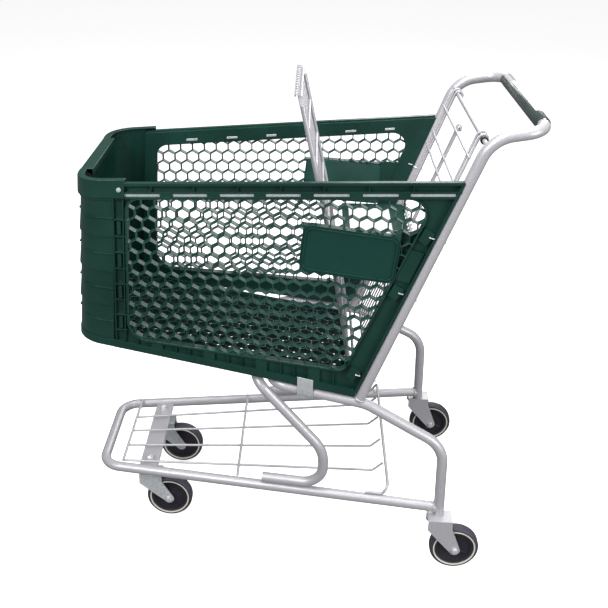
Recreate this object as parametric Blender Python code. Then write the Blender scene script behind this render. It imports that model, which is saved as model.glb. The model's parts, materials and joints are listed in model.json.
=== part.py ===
"""Shopping cart: bent tube chassis, moulded basket, wire gate with child seat, four casters.

Metres, +X toward the nose, +Y the cart's left side, +Z up, floor at Z = 0.
"""
import math

import bmesh
import bpy
from mathutils import Vector
from mathutils.geometry import tessellate_polygon

for item in list(bpy.data.objects):
    bpy.data.objects.remove(item, do_unlink=True)

# ---------------------------------------------------------------- driving dimensions
GAP = 0.0003            # clearance left between pieces that touch
TUBE_R = 0.012          # chassis tube, 24 mm outside diameter
WHEEL_R = 0.057         # 114 mm wheels
TYRE_BORE = 0.044       # radius where the tread meets the hub
BOLT_R = 0.004
REAR_AXLE = (-0.388, 0.259)
FRONT_AXLE = (0.307, 0.113)
SWIVEL_X = 0.354        # front kingpin, 47 mm ahead of the axle
FORK_IN = 0.0185        # half the clear width between fork cheeks
FORK_T = 0.0028
REAR_FORK_TOP = 0.1405
FRONT_FORK_TOP = 0.1285
RAIL_Z = 0.1585         # axis height of the lower base tube
NOSE_TUBE_X = 0.4685    # axis of the base tube across the nose
LEG_X = -0.347
LEG_Y = 0.249
PLATE_X = (0.3315, 0.3765)
PLATE_Z = (0.152, 0.160)
FRAME_T = 0.020         # depth of the rim and flanges of a side panel
WEB_IN = 0.004          # mesh set back from the outer face
WEB_T = 0.010
NOSE_CORNER_R = 0.060
NOSE_T = 0.006
HEX_PITCH = 0.063
HEX_WALL = 0.011
SIGN = (-0.111, 0.7875, 0.195, 0.097, 5.5)      # centre x, z, length, height, tilt in degrees
HANDLE_X = -0.474
HANDLE_Z = 1.0515
GRIP_HALF = 0.191
GRIP_R = 0.0146
ROD_R = 0.0048          # gate rod between the uprights
ROD = Vector((-0.3638, 0.0, 1.020))
GATE_LEN = 0.5955       # hook to bottom rod
GATE_T = 0.0088         # gate wires hang this far ahead of the rod
WIRE_R = 0.0027
SEAT_R = 0.004          # seat back side wires
SEAT_HALF = 0.150
FLAP_S = 0.280          # flap hinge wire, measured down the gate
FLAP_LEN = 0.1460
FLAP_HALF = 0.140

SLOPE = 0.367           # rearward lean of the uprights
WALL_TAPER = 0.0775     # side walls draw in toward the nose
BASKET_RISE = 0.158     # basket floor and support tubes climb toward the nose
NOSE_LEAN = 0.076       # nose wall leans forward as it goes down
DOWN = Vector((0.3445, 0.0, -0.9388))       # along the hanging gate
AHEAD = Vector((0.9388, 0.0, 0.3445))       # square to the gate, toward the nose


def rail_y(x):
    """Half width of the base tube at station x."""
    return 0.2006 - 0.139 * x


def wall_y(x):
    """Half width of the basket, outer face."""
    return 0.2258 - WALL_TAPER * x


def support_y(x):
    """Half width of the support tubes under the basket."""
    return 0.2142 - 0.100 * x


def rim_z(x):
    return 0.9395 - 0.0505 * x


def bottom_z(x):
    return 0.467 + BASKET_RISE * x


def support_z(x):
    return 0.4505 + BASKET_RISE * x


def rear_edge_x(z):
    return -0.137 - 0.372 * (z - 0.4454)


def upright_x(z):
    return -0.148 - SLOPE * (z - 0.432)


def upright_y(z):
    return 0.2295 + 0.0182 * (z - 0.432)


def front_edge_x(z):
    return 0.377 - 0.072 * (z - 0.885)


def nose_x(z):
    return 0.4606 - NOSE_LEAN * (z - 0.904)


def gate_point(s, t, y):
    """Point on the gate: s down from the rod, t ahead of the rod's plane."""
    spot = ROD + DOWN * s + AHEAD * t
    return Vector((spot.x, y, spot.z))


# ---------------------------------------------------------------- scene helpers
part = bpy.data.collections.new("shopping_cart")
bpy.context.scene.collection.children.link(part)


def material(name, rgb, metallic, rough):
    mat = bpy.data.materials.new(name)
    mat.use_nodes = True
    mat.diffuse_color = (*rgb, 1.0)
    shader = mat.node_tree.nodes["Principled BSDF"]
    shader.inputs["Base Color"].default_value = (*rgb, 1.0)
    shader.inputs["Metallic"].default_value = metallic
    shader.inputs["Roughness"].default_value = rough
    return mat


PAINTS = {
    "steel": ((0.42, 0.42, 0.44), 0.6, 0.45),
    "zinc": ((0.72, 0.76, 0.78), 1.0, 0.25),
    "green": ((0.012, 0.060, 0.043), 0.0, 0.40),
    "green_plate": ((0.010, 0.058, 0.040), 0.0, 0.35),
    "rubber": ((0.035, 0.030, 0.045), 0.0, 0.60),
    "hub": ((0.045, 0.038, 0.055), 0.0, 0.45),
    "white": ((0.80, 0.82, 0.80), 0.0, 0.30),
    "black": ((0.015, 0.015, 0.015), 0.0, 0.50),
}


def finish(obj, name, paint):
    """Name the piece, give it its own material, close it and face it outward."""
    obj.name = name
    obj.data.name = name
    bm = bmesh.new()
    bm.from_mesh(obj.data)
    bmesh.ops.remove_doubles(bm, verts=bm.verts, dist=0.00002)
    bmesh.ops.recalc_face_normals(bm, faces=bm.faces)
    bm.to_mesh(obj.data)
    bm.free()
    obj.data.materials.clear()
    obj.data.materials.append(material("mat_" + name, *PAINTS[paint]))
    for holder in list(obj.users_collection):
        holder.objects.unlink(obj)
    part.objects.link(obj)
    return obj


def mesh_object(verts, faces):
    mesh = bpy.data.meshes.new("shape")
    mesh.from_pydata([tuple(v) for v in verts], [], faces)
    bm = bmesh.new()
    bm.from_mesh(mesh)
    bmesh.ops.recalc_face_normals(bm, faces=bm.faces)
    bm.to_mesh(mesh)
    bm.free()
    obj = bpy.data.objects.new("shape", mesh)
    bpy.context.scene.collection.objects.link(obj)
    return obj


def baked(obj):
    """Replace an object by the plain mesh of its evaluated shape."""
    graph = bpy.context.evaluated_depsgraph_get()
    mesh = bpy.data.meshes.new_from_object(obj.evaluated_get(graph))
    fresh = bpy.data.objects.new("shape", mesh)
    fresh.matrix_world = obj.matrix_world.copy()
    bpy.context.scene.collection.objects.link(fresh)
    bpy.data.objects.remove(obj, do_unlink=True)
    return fresh


def combine(obj, tool, how):
    """Boolean of two closed bodies; the second one is used up."""
    mod = obj.modifiers.new("combine", "BOOLEAN")
    mod.operation = how
    mod.solver = "EXACT"
    mod.object = tool
    bpy.context.view_layer.update()
    result = baked(obj)
    bpy.data.objects.remove(tool, do_unlink=True)
    return result


def largest(obj):
    """Drop the small off-cuts a saddle cut leaves inside the other tube."""
    bm = bmesh.new()
    bm.from_mesh(obj.data)
    groups = []
    seen = set()
    for start in bm.verts:
        if start in seen:
            continue
        group = [start]
        seen.add(start)
        for vert in group:
            for edge in vert.link_edges:
                other = edge.other_vert(vert)
                if other not in seen:
                    seen.add(other)
                    group.append(other)
        groups.append(group)
    groups.sort(key=len)
    for group in groups[:-1]:
        bmesh.ops.delete(bm, geom=group, context="VERTS")
    bm.to_mesh(obj.data)
    bm.free()
    return obj


def joined(pieces):
    body = pieces[0]
    for piece in pieces[1:]:
        body = combine(body, piece, "UNION")
    return body


def mirrored(points):
    """Left half of a symmetric centre line followed by its right half."""
    return points + [Vector((p.x, -p.y, p.z)) for p in reversed(points)]


def rounded(corners, radii, steps=4):
    """Poly line through corners with circular bends."""
    line = [Vector(corners[0])]
    for i in range(1, len(corners) - 1):
        here = Vector(corners[i])
        back = (Vector(corners[i - 1]) - here).normalized()
        ahead = (Vector(corners[i + 1]) - here).normalized()
        half = back.angle(ahead) / 2
        radius = radii[i - 1]
        reach = radius / math.tan(half)
        centre = here + (back + ahead).normalized() * (radius / math.sin(half))
        start = here + back * reach - centre
        end = here + ahead * reach - centre
        sweep = start.angle(end)
        for k in range(steps + 1):
            a = sweep * k / steps
            mix = (start * math.sin(sweep - a) + end * math.sin(a)) / math.sin(sweep)
            line.append(centre + mix)
    line.append(Vector(corners[-1]))
    return line


def tube(points, radius, resolution=3):
    """Closed round bar or tube along a centre line."""
    curve = bpy.data.curves.new("bar", "CURVE")
    curve.dimensions = "3D"
    curve.bevel_depth = radius
    curve.bevel_resolution = resolution
    curve.use_fill_caps = True
    spline = curve.splines.new("POLY")
    spline.points.add(len(points) - 1)
    for knot, spot in zip(spline.points, points):
        knot.co = (spot[0], spot[1], spot[2], 1.0)
    obj = bpy.data.objects.new("bar", curve)
    bpy.context.scene.collection.objects.link(obj)
    bpy.context.view_layer.update()
    solid = baked(obj)
    bm = bmesh.new()
    bm.from_mesh(solid.data)
    bmesh.ops.remove_doubles(bm, verts=bm.verts, dist=0.00001)
    bmesh.ops.recalc_face_normals(bm, faces=bm.faces)
    bm.to_mesh(solid.data)
    bm.free()
    return solid


def sheet(outline, holes, depth, place):
    """Flat plate from a 2D outline with holes; place(u, v, w) puts it in space."""
    curve = bpy.data.curves.new("plate", "CURVE")
    curve.dimensions = "2D"
    curve.fill_mode = "BOTH"
    curve.extrude = depth / 2
    for loop in [outline] + list(holes):
        spline = curve.splines.new("POLY")
        spline.points.add(len(loop) - 1)
        for knot, spot in zip(spline.points, loop):
            knot.co = (spot[0], spot[1], 0.0, 1.0)
        spline.use_cyclic_u = True
    obj = bpy.data.objects.new("plate", curve)
    bpy.context.scene.collection.objects.link(obj)
    bpy.context.view_layer.update()
    solid = baked(obj)
    bm = bmesh.new()
    bm.from_mesh(solid.data)
    bmesh.ops.remove_doubles(bm, verts=bm.verts, dist=0.00002)
    for vert in bm.verts:
        vert.co = Vector(place(vert.co.x, vert.co.y, vert.co.z))
    bmesh.ops.recalc_face_normals(bm, faces=bm.faces)
    bm.to_mesh(solid.data)
    bm.free()
    return solid


def framed_panel(outline, window, cells, place):
    """Deep border round a thinner web; the cells are holes right through the web."""
    verts = []
    faces = []

    def ring(loop, depth):
        first = len(verts)
        verts.extend(place(u, v, -depth) for u, v in loop)
        return list(range(first, len(verts)))

    def wall(near, far):
        for i, a in enumerate(near):
            b = near[(i + 1) % len(near)]
            faces.append((a, b, far[(i + 1) % len(far)], far[i]))

    def cap(loops, rings):
        flat = [index for loop in rings for index in loop]
        shape = [[Vector((u, v, 0.0)) for u, v in loop] for loop in loops]
        for tri in tessellate_polygon(shape):
            faces.append(tuple(flat[i] for i in tri))

    web_back = WEB_IN + WEB_T
    rim = [ring(outline, d) for d in (0.0, FRAME_T)]
    edge = [ring(window, d) for d in (0.0, WEB_IN, web_back, FRAME_T)]
    holes = [(ring(cell, WEB_IN), ring(cell, web_back)) for cell in cells]
    wall(rim[0], rim[1])
    wall(edge[0], edge[1])
    wall(edge[2], edge[3])
    for near, far in holes:
        wall(near, far)
    cap([outline, window], [rim[0], edge[0]])
    cap([outline, window], [rim[1], edge[3]])
    cap([window] + cells, [edge[1]] + [near for near, _ in holes])
    cap([window] + cells, [edge[2]] + [far for _, far in holes])
    return mesh_object(verts, faces)


def sweep(sections):
    """Closed body through a list of equal-length closed sections."""
    count = len(sections[0])
    verts = [v for section in sections for v in section]
    faces = []
    for i in range(len(sections) - 1):
        for j in range(count):
            k = (j + 1) % count
            faces.append((i * count + j, i * count + k, (i + 1) * count + k, (i + 1) * count + j))
    faces.append(tuple(range(count)))
    faces.append(tuple((len(sections) - 1) * count + j for j in reversed(range(count))))
    return mesh_object(verts, faces)


def lathe(profile, centre, axis, segments):
    """Solid of revolution; profile is (radius, height) and starts and ends on the axis,
    or is a closed loop away from it."""
    loop = profile[0][0] > 0.0
    spins = []
    for k in range(segments):
        a = 2 * math.pi * k / segments
        spins.append((math.cos(a), math.sin(a)))
    verts = []
    rings = []
    for radius, height in profile:
        if radius == 0.0:
            rings.append([len(verts)])
            verts.append((0.0, 0.0, height))
            continue
        rings.append(list(range(len(verts), len(verts) + segments)))
        verts.extend((radius * c, radius * s, height) for c, s in spins)
    faces = []
    pairs = list(zip(rings, rings[1:]))
    if loop:
        pairs.append((rings[-1], rings[0]))
    for low, high in pairs:
        for k in range(segments):
            n = (k + 1) % segments
            if len(low) == 1:
                faces.append((low[0], high[n], high[k]))
            elif len(high) == 1:
                faces.append((low[k], low[n], high[0]))
            else:
                faces.append((low[k], low[n], high[n], high[k]))
    if axis == "Y":
        verts = [(x, h, y) for x, y, h in verts]
    verts = [(x + centre[0], y + centre[1], z + centre[2]) for x, y, z in verts]
    return mesh_object(verts, faces)


def box(low, high):
    x0, y0, z0 = low
    x1, y1, z1 = high
    verts = [(x, y, z) for x in (x0, x1) for y in (y0, y1) for z in (z0, z1)]
    faces = [(0, 1, 3, 2), (4, 6, 7, 5), (0, 4, 5, 1), (2, 3, 7, 6), (0, 2, 6, 4), (1, 5, 7, 3)]
    return mesh_object(verts, faces)


SIDES = (("left", 1.0), ("right", -1.0))

# ---------------------------------------------------------------- chassis tubes
leg_line = rounded(
    mirrored([
        Vector((LEG_X, LEG_Y, 0.1410)),
        Vector((-0.341, LEG_Y, 0.3295)),
        Vector((-0.165, support_y(-0.165), support_z(-0.165))),
        Vector((0.048, support_y(0.048), support_z(0.048))),
    ]),
    [0.075, 0.100, 0.040, 0.040, 0.100, 0.075],
)
finish(tube(leg_line, TUBE_R), "leg_support_loop", "steel")

base_line = rounded(
    mirrored([
        Vector((LEG_X, LEG_Y, RAIL_Z)),
        Vector((NOSE_TUBE_X, rail_y(NOSE_TUBE_X), RAIL_Z)),
    ]),
    [0.050, 0.050],
)
base = tube(base_line, TUBE_R)
base = combine(base, tube(leg_line, TUBE_R + GAP), "DIFFERENCE")
finish(largest(base), "base_loop", "steel")

brace_z = RAIL_Z + 2 * TUBE_R + GAP
brace_corners = [
    Vector((0.068, rail_y(0.068), brace_z)),
    Vector((-0.075, rail_y(-0.075), brace_z)),
    Vector((-0.075, 0.2180, 0.2844)),
    Vector((0.0830, 0.2089, 0.4645)),
]
brace_line = rounded(mirrored(brace_corners), [0.052, 0.090, 0.034, 0.034, 0.090, 0.052])
brace = tube(brace_line, TUBE_R)
brace = combine(brace, tube(leg_line, TUBE_R + GAP), "DIFFERENCE")
brace = combine(brace, tube(base_line, TUBE_R + GAP), "DIFFERENCE")
finish(largest(brace), "front_brace_loop", "steel")

handle_line = rounded(
    mirrored([
        Vector((-0.1455, support_y(-0.1455), support_z(-0.1455) - 0.002)),
        Vector((upright_x(1.036), upright_y(1.036), 1.036)),
        Vector((HANDLE_X, 0.2365, HANDLE_Z)),
    ]),
    [0.070, 0.042, 0.042, 0.070],
)
handle = tube(handle_line, TUBE_R)
handle = combine(handle, tube(leg_line, TUBE_R + GAP), "DIFFERENCE")
finish(largest(handle), "handle_loop", "steel")

rod = tube([Vector((ROD.x, 0.240, ROD.z)), Vector((ROD.x, -0.240, ROD.z))], ROD_R)
rod = combine(rod, tube(handle_line, TUBE_R + GAP), "DIFFERENCE")
finish(largest(rod), "gate_rod", "steel")

# ---------------------------------------------------------------- caster plate
plate_sections = []
for x in PLATE_X:
    half = rail_y(x) - TUBE_R - GAP
    plate_sections.append([
        (x, -half, PLATE_Z[0]),
        (x, half, PLATE_Z[0]),
        (x, half, PLATE_Z[1]),
        (x, -half, PLATE_Z[1]),
    ])
plate = sweep(plate_sections)
for _, side in SIDES:
    hole = lathe([(0.0, 0.14), (0.0056, 0.14), (0.0056, 0.18), (0.0, 0.18)],
                 (SWIVEL_X, side * FRONT_AXLE[1], 0.0), "Z", 12)
    plate = combine(plate, hole, "DIFFERENCE")
finish(plate, "caster_plate", "steel")

# ---------------------------------------------------------------- lower wire rack
CROSS_Z = RAIL_Z + TUBE_R + GAP + 0.0032
WIRE_Z = CROSS_Z - 0.0046
RACK_WIRES = ((0.130, 0.131), (0.066, 0.032), (0.004, -0.067), (-0.058, -0.160))
rack = []
for x, reach in ((0.4160, 0.137), (0.1290, 0.178)):
    rack.append(tube([Vector((x, reach, CROSS_Z)), Vector((x, -reach, CROSS_Z))], 0.0032, 2))
for front, rear in RACK_WIRES:
    rack.append(tube([
        Vector((0.4200, front, WIRE_Z)),
        Vector((-0.1980, rear + 0.001, WIRE_Z)),
        Vector((-0.2215, rear, 0.1910)),
    ], 0.0024, 1))
finish(joined(rack), "lower_rack", "steel")

ARCH_R = 0.0035
ARCH_X = -0.2240
arch_y = rail_y(ARCH_X) - 0.004
arch_foot = RAIL_Z + TUBE_R + GAP + ARCH_R
arch_line = rounded(
    mirrored([
        Vector((-0.176, rail_y(-0.176) - 0.002, arch_foot)),
        Vector((-0.2160, arch_y, arch_foot)),
        Vector((ARCH_X - 0.004, arch_y, 0.1955)),
    ]),
    [0.008, 0.014, 0.014, 0.008], 3,
)
arch = tube(arch_line, ARCH_R, 2)
finish(arch, "rack_backstop", "steel")

# ---------------------------------------------------------------- basket side panels
NOSE_GAP = 0.0006


def wall_place(side, outer):
    """Place panel coordinates (x, z, depth) on one wall, outer face at +outer."""
    def place(u, v, w):
        return (u, side * (wall_y(u) + outer + w), v)
    return place


top_rear = 0.956
outline = [
    (rear_edge_x(top_rear), top_rear),
    (front_edge_x(0.9206), rim_z(front_edge_x(0.9206))),
    (front_edge_x(0.5306), bottom_z(front_edge_x(0.5306))),
    (-0.137, 0.4454),
]
outline = [(u - NOSE_GAP, v) if u > 0 else (u, v) for u, v in outline]
window_corners = [(-0.2620, 0.9130), (0.3500, 0.8823), (0.3660, 0.5545), (-0.1130, 0.5080)]
WINDOW_R = (0.035, 0.030, 0.045, 0.022)


def rounded_loop(corners, radii, steps=4):
    """Closed 2D outline with round corners."""
    loop = []
    for i, spot in enumerate(corners):
        before = corners[i - 1]
        after = corners[(i + 1) % len(corners)]
        arc = rounded([(*before, 0), (*spot, 0), (*after, 0)], [radii[i]], steps)
        loop.extend((p.x, p.y) for p in arc[1:-1])
    return loop


def inside(point, loop, margin):
    """True when a point is inside a convex loop by at least margin."""
    x, z = point
    sign = 0.0
    for i, (ax, az) in enumerate(loop):
        bx, bz = loop[(i + 1) % len(loop)]
        length = math.hypot(bx - ax, bz - az)
        cross = ((bx - ax) * (z - az) - (bz - az) * (x - ax)) / length
        if sign == 0.0:
            sign = math.copysign(1.0, cross)
        if cross * sign < margin:
            return False
    return True


def sign_corners(extra):
    cx, cz, length, height, tilt = SIGN
    turn = math.radians(tilt)
    spots = []
    for a, b in ((-0.5, 0.5), (0.5, 0.5), (0.5, -0.5), (-0.5, -0.5)):
        u = a * (length + 2 * extra)
        v = b * (height + 2 * extra)
        spots.append((cx + u * math.cos(turn) - v * math.sin(turn),
                      cz + u * math.sin(turn) + v * math.cos(turn)))
    return spots


def hexagon(cx, cz, radius):
    spots = []
    for k in range(6):
        a = math.radians(60 * k + 30)
        spots.append((cx + radius * math.cos(a), cz + radius * math.sin(a)))
    return spots


window = rounded_loop(window_corners, WINDOW_R)
hexes = []
hex_r = (HEX_PITCH - HEX_WALL) / math.sqrt(3)
row_step = HEX_PITCH * math.sqrt(3) / 2
for row in range(-5, 6):
    for column in range(-8, 9):
        centre = (0.085 + (column + 0.5 * (row % 2)) * HEX_PITCH, 0.705 + row * row_step)
        cell = hexagon(*centre, hex_r)
        if not all(inside(spot, window, 0.003) for spot in cell):
            continue
        if any(inside(spot, sign_corners(0.006), 0.0) for spot in cell + [centre]):
            continue
        hexes.append(cell)

for name, side in SIDES:
    panel = framed_panel(outline, window, hexes, wall_place(side, 0.0))
    finish(panel, "side_panel_" + name, "green")
    blank = sheet(rounded_loop(sign_corners(0.0), (0.018,) * 4), [], 0.0030,
                  wall_place(side, GAP + 0.0015))
    finish(blank, "sign_plate_" + name, "green_plate")
    strip = sheet([(0.340, rim_z(0.340) - 0.0325), (0.340, rim_z(0.340) - 0.0275),
                   (-0.305, rim_z(-0.305) - 0.0275), (-0.305, rim_z(-0.305) - 0.0325)],
                  [], 0.0018, wall_place(side, GAP + 0.0009))
    finish(strip, "rim_strip_" + name, "zinc")

# ---------------------------------------------------------------- nose and floor


def nose_path(z, outward, start, stop_y=None):
    """Plan path round the nose at height z, from the left side to the right."""
    front = nose_x(z) + outward
    corner = (front, wall_y(nose_x(z)) + outward)
    begin = (start, wall_y(start) + outward)
    last = (front, 0.0 if stop_y is None else stop_y)
    bend = rounded([(*begin, z), (*corner, z), (*last, z)], [NOSE_CORNER_R + outward], 6)
    if stop_y is not None:
        return [(p.x, p.y) for p in bend]
    left = [(p.x, p.y) for p in bend[:-1]]
    return left + [(x, -y) for x, y in reversed(left)]


def nose_wall(thick, top_drop, bottom_lift):
    """Closed shell of the nose: outer and inner plan paths at the top and bottom."""
    columns = []
    for z, edge in ((0.918, "top"), (0.538, "low")):
        start = front_edge_x(z)
        outer = nose_path(z, 0.0, start)
        inner = nose_path(z, -thick, start)
        columns.append((outer, inner, edge))
    sections = []
    for k in range(len(columns[0][0])):
        loop = []
        for column, order in ((columns[0], (0, 1)), (columns[1], (1, 0))):
            for which in order:
                x, y = column[which][k]
                z = rim_z(x) - top_drop if column[2] == "top" else bottom_z(x) + bottom_lift
                loop.append((x, y, z))
        sections.append(loop)
    return sweep(sections)


finish(nose_wall(NOSE_T, 0.0, 0.0), "nose_panel", "green")

floor_x = (-0.128, 0.400)
inset = FRAME_T + 0.0005
floor_edge = [(floor_x[0], wall_y(floor_x[0]) - inset), (floor_x[1], wall_y(floor_x[1]) - inset)]
lead = rounded([(floor_x[1], wall_y(floor_x[1]) - inset, 0), (0.4800, 0.1780, 0), (0.4800, 0, 0)],
               [0.045], 4)
floor_edge += [(p.x, p.y) for p in lead[1:-1]]
floor_outline = floor_edge + [(x, -y) for x, y in reversed(floor_edge)]
slots = []
for row in range(7):
    x = -0.090 + row * 0.079
    for column in (-1.5, -0.5, 0.5, 1.5):
        y = column * 0.084
        slots.append([(x, y - 0.030), (x + 0.052, y - 0.030), (x + 0.052, y + 0.030),
                      (x, y + 0.030)])
floor = sheet(floor_outline, slots, 0.006,
              lambda u, v, w: (u, v, bottom_z(u) + 0.0075 + w))
finish(floor, "basket_floor", "green")

# rim caps wrap the corners; a bar joins them over the nose
for name, side in SIDES:
    plan = nose_path(0.918, 0.0, 0.3510, 0.1140)
    sections = []
    for i, (x, y) in enumerate(plan):
        before = Vector(plan[max(i - 1, 0)])
        after = Vector(plan[min(i + 1, len(plan) - 1)])
        along = (after - before).normalized()
        away = Vector((-along.y, along.x))
        if away.dot(Vector((1.0, 1.0))) < 0:
            away = -away
        loop = []
        for out, up in ((0.0033, -0.036), (0.0033, 0.0033), (-0.0120, 0.0033),
                        (-0.0120, 0.0006), (GAP, 0.0006), (GAP, -0.036)):
            lean = -NOSE_LEAN * up
            px = x + away.x * out + lean
            py = y + away.y * out - WALL_TAPER * lean * away.y
            loop.append((px, side * py, rim_z(x) + up))
        sections.append(loop)
    finish(sweep(sections), "corner_cap_" + name, "green")
    rivet = lathe([(0.0, 0.0), (0.0052, 0.0), (0.0045, 0.0016), (0.0, 0.0024)],
                  (0.0, 0.0, 0.0), "Z", 12)
    head = Vector((0.364, side * (wall_y(0.364) + 0.0043), rim_z(0.364) - 0.0175))
    for vert in rivet.data.vertices:
        x, y, z = vert.co
        vert.co = (head.x + x, head.y + side * z, head.z + y)
    finish(rivet, "cap_rivet_" + name, "zinc")

bar_front = nose_x(0.918)
bar_top = rim_z(bar_front)
bar_loop = [
    (0.0028, -0.020), (0.0028, 0.0030), (-0.0240, 0.0030), (-0.0240, -0.012),
    (-0.0215, -0.012), (-0.0215, 0.0006), (GAP, 0.0006), (GAP, -0.020),
]
bar_sections = []
for y in (0.1134, -0.1134):
    bar_sections.append([(bar_front + out - NOSE_LEAN * up, y, bar_top + up)
                         for out, up in bar_loop])
finish(sweep(bar_sections), "front_rim_bar", "green")

# ---------------------------------------------------------------- basket fixings
for name, side in SIDES:
    for i, z in enumerate((0.8396, 0.7294, 0.5049)):
        mid = Vector((upright_x(z), upright_y(z), z))
        across = Vector((0.0, 1.0, 0.0))
        spread = 0.0166
        line = []
        for k in range(1, 5):
            a = math.pi * k / 4
            line.append(mid + across * spread * math.cos(a) - AHEAD * spread * math.sin(a))
        line.append(mid - across * spread + AHEAD * 0.042)
        line = [Vector((p.x, side * p.y, p.z)) for p in line]
        finish(tube(line, 0.0014, 1), "wire_clip_{}_{}".format(name, i + 1), "zinc")
    clip_x = -0.0282
    tube_y = support_y(clip_x)
    tube_z = support_z(clip_x)
    outer_y = wall_y(clip_x) + 0.0005
    thick = 0.0014
    grip_in = TUBE_R + GAP + 0.0008
    inner_line = [(max(outer_y, tube_y + grip_in), 0.4850), (max(outer_y, tube_y + grip_in), tube_z)]
    outer_line = [(inner_line[0][0] + thick, 0.4850), (inner_line[1][0] + thick, tube_z)]
    for k in range(1, 7):
        a = math.pi * k / 6
        wide = inner_line[1][0] - tube_y if k < 3 else grip_in
        inner_line.append((tube_y + wide * math.cos(a), tube_z - grip_in * math.sin(a)))
        outer_line.append((tube_y + (wide + thick) * math.cos(a),
                           tube_z - (grip_in + thick) * math.sin(a)))
    inner_line.append((tube_y - grip_in, tube_z + 0.010))
    outer_line.append((tube_y - grip_in - thick, tube_z + 0.010))
    loop = inner_line + outer_line[::-1]
    sections = []
    for x in (clip_x - 0.0175, clip_x + 0.0175):
        rise = BASKET_RISE * (x - clip_x)
        shift = support_y(x) - tube_y
        sections.append([(x, side * (y + shift), z + rise) for y, z in loop])
    finish(sweep(sections), "strap_clip_" + name, "zinc")

# ---------------------------------------------------------------- handle grip
arc = []
inner = []
for k in range(19):
    a = math.radians(-90 + 2.5 + 355 * k / 18)
    arc.append((HANDLE_X + GRIP_R * math.cos(a), HANDLE_Z + GRIP_R * math.sin(a)))
    inner.append((HANDLE_X + (TUBE_R + 0.0006) * math.cos(a),
                  HANDLE_Z + (TUBE_R + 0.0006) * math.sin(a)))
grip_loop = arc + inner[::-1]
finish(sweep([[(x, y, z) for x, z in grip_loop] for y in (GRIP_HALF, -GRIP_HALF)]),
       "handle_grip", "green")

label = []
for radius, order in ((GRIP_R + GAP + 0.0012, 1), (GRIP_R + GAP, -1)):
    run = []
    for k in range(6):
        a = math.radians(70 + 80 * k / 5)
        run.append((HANDLE_X + radius * math.cos(a), HANDLE_Z + radius * math.sin(a)))
    label += run[::order]
finish(sweep([[(x, y, z) for x, z in label] for y in (0.140, -0.110)]),
       "handle_label_insert", "white")

for name, side in SIDES:
    screw = lathe([(0.0, 0.0), (0.0030, 0.0), (0.0024, 0.0014), (0.0, 0.0018)],
                  (HANDLE_X, side * 0.1955, HANDLE_Z + TUBE_R + GAP), "Z", 8)
    finish(screw, "grip_screw_" + name, "zinc")

# ---------------------------------------------------------------- rear gate
hook = []
for k in range(7):
    a = math.radians(200 - 200 * k / 6)
    hook.append((-GATE_T * math.sin(a), GATE_T * math.cos(a)))
gate = []
CROSS_T = GATE_T + 0.004
for side in (1.0, -1.0):
    for top, low in ((0.1870, 0.1780), (0.1640, 0.1640)):
        line = [gate_point(s, t, side * top) for s, t in hook]
        line.append(gate_point(0.560, GATE_T, side * low))
        line.append(gate_point(GATE_LEN, 0.022, side * low))
        gate.append(tube(line, WIRE_R, 1))
bars = [(0.0426, 0.205), (0.0998, 0.200), (0.1550, 0.196), (FLAP_S, 0.190), (0.4250, 0.186),
        (0.5600, 0.182)]
for s, half in bars:
    gate.append(tube([gate_point(s, CROSS_T, half), gate_point(s, CROSS_T, -half)], WIRE_R, 1))
gate.append(tube([gate_point(GATE_LEN, 0.022, 0.182), gate_point(GATE_LEN, 0.022, -0.182)],
                 0.0035, 2))
for k in (-3.5, -2.5, -1.5, -0.5, 0.5, 1.5, 2.5, 3.5):
    y = k * 0.0326
    gate.append(tube([gate_point(FLAP_S - 0.004, GATE_T, y), gate_point(0.566, GATE_T, y)],
                     WIRE_R, 1))
gate.append(tube([gate_point(0.031, GATE_T, 0.0), gate_point(FLAP_S - 0.010, GATE_T, 0.0)],
                 0.0034, 1))
finish(joined(gate), "rear_gate", "steel")

for name, side in SIDES:
    ring = lathe([(ROD_R + GAP, -0.004), (0.0078, -0.004), (0.0078, 0.004), (ROD_R + GAP, 0.004)],
                 (ROD.x, side * 0.1975, ROD.z), "Y", 12)
    finish(ring, "gate_bushing_" + name, "black")

# ---------------------------------------------------------------- seat back
PIVOT = gate_point(GATE_LEN, 0.022, 0.0)
EYE_R = 0.0085
KNEE = Vector((-0.0770, 0.0, 0.8000))
TOP = Vector((0.0020, 0.0, 1.0920))


def seat_point(share, y):
    """Point on the seat back between the knee (0) and the top (1), or below it (< 0)."""
    if share >= 0:
        spot = KNEE.lerp(TOP, share)
    else:
        spot = KNEE.lerp(Vector((PIVOT.x + EYE_R, 0.0, PIVOT.z)), -share)
    return Vector((spot.x, y, spot.z))


seat = []
for side in (1.0, -1.0):
    line = []
    for k in range(7):
        a = math.radians(-200 + 200 * k / 6)
        line.append(Vector((PIVOT.x + EYE_R * math.cos(a), side * SEAT_HALF,
                            PIVOT.z + EYE_R * math.sin(a))))
    line.append(seat_point(0.0, side * 0.1480))
    line.append(seat_point(1.0, side * 0.1440))
    seat.append(tube(line, SEAT_R, 1))
for share, half in ((1.0, 0.1440), (0.45, 0.1465), (-0.02, 0.1485), (-0.45, 0.1490),
                    (-0.90, 0.1500)):
    seat.append(tube([seat_point(share, half), seat_point(share, -half)], 0.0032, 1))
for k in range(5):
    y = (k - 2) * 0.056
    seat.append(tube([
        seat_point(-0.93, y) + Vector((0.0035, 0, 0)),
        seat_point(0.0, y) + Vector((0.0035, 0, 0)),
        seat_point(1.035, y) + Vector((0.0030, 0, 0)),
    ], 0.0024, 1))
finish(joined(seat), "seat_back", "steel")

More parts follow.
